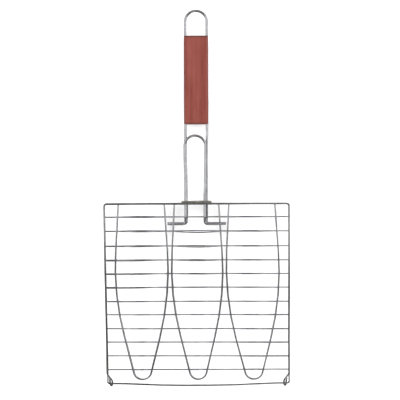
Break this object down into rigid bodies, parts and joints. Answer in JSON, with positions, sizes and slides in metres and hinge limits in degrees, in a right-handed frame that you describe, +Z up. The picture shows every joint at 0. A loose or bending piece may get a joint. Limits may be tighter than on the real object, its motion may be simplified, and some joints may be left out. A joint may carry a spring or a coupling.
{
  "type": "grill basket",
  "caption": "Folding wire grill basket with fish-shaped outlines, humped cross wires, hinged lid, two handle loops, a flat wooden grip and a sliding lock ring.",
  "frame": {"origin": "middle of the footprint, in the plane of the lowest humps, with the basket lying flat", "axes": "+Y from the hinge to the handle's hanging loop, +X to the right seen from above, +Z up through the lid"},
  "size_m": [0.2994, 0.6052, 0.0339],
  "materials": {
    "grid_wire": "bright plated wire",
    "frame_wire": "bright plated wire",
    "handle_wire": "bright plated wire",
    "ring_wire": "plated wire, slightly dulled",
    "stained_wood": "reddish-brown stain, satin lacquer"
  },
  "bodies": {
    "base": {"base_frame": "frame_wire", "base_cross_wire_01": "grid_wire", "base_cross_wire_02": "grid_wire", "base_cross_wire_03": "grid_wire", "base_cross_wire_04": "grid_wire", "base_cross_wire_05": "grid_wire", "base_cross_wire_06": "grid_wire", "base_cross_wire_07": "grid_wire", "base_cross_wire_08": "grid_wire", "base_cross_wire_09": "grid_wire", "base_cross_wire_10": "grid_wire", "base_cross_wire_11": "grid_wire", "base_cross_wire_12": "grid_wire", "base_fish_wire_left": "grid_wire", "base_fish_wire_middle": "grid_wire", "base_fish_wire_right": "grid_wire", "main_handle_wire": "handle_wire", "wood_grip": "stained_wood"},
    "lid": {"lid_frame": "frame_wire", "lid_cross_wire_01": "grid_wire", "lid_cross_wire_02": "grid_wire", "lid_cross_wire_03": "grid_wire", "lid_cross_wire_04": "grid_wire", "lid_cross_wire_05": "grid_wire", "lid_cross_wire_06": "grid_wire", "lid_cross_wire_07": "grid_wire", "lid_cross_wire_08": "grid_wire", "lid_cross_wire_09": "grid_wire", "lid_cross_wire_10": "grid_wire", "lid_cross_wire_11": "grid_wire", "lid_cross_wire_12": "grid_wire", "lid_fish_wire_left": "grid_wire", "lid_fish_wire_middle": "grid_wire", "lid_fish_wire_right": "grid_wire", "lid_handle_wire": "handle_wire"},
    "ring": {"lock_ring": "ring_wire"}
  },
  "joints": [
    {"name": "lid_hinge", "type": "hinge", "parent": "base", "child": "lid", "pos_m": [0, -0.2979, 0.01695], "axis": [1, 0, 0], "range_deg": [0, 180]},
    {"name": "ring_slide", "type": "slide", "parent": "base", "child": "ring", "axis": [0, 1, 0], "range_m": [0, 0.1225]}
  ]
}
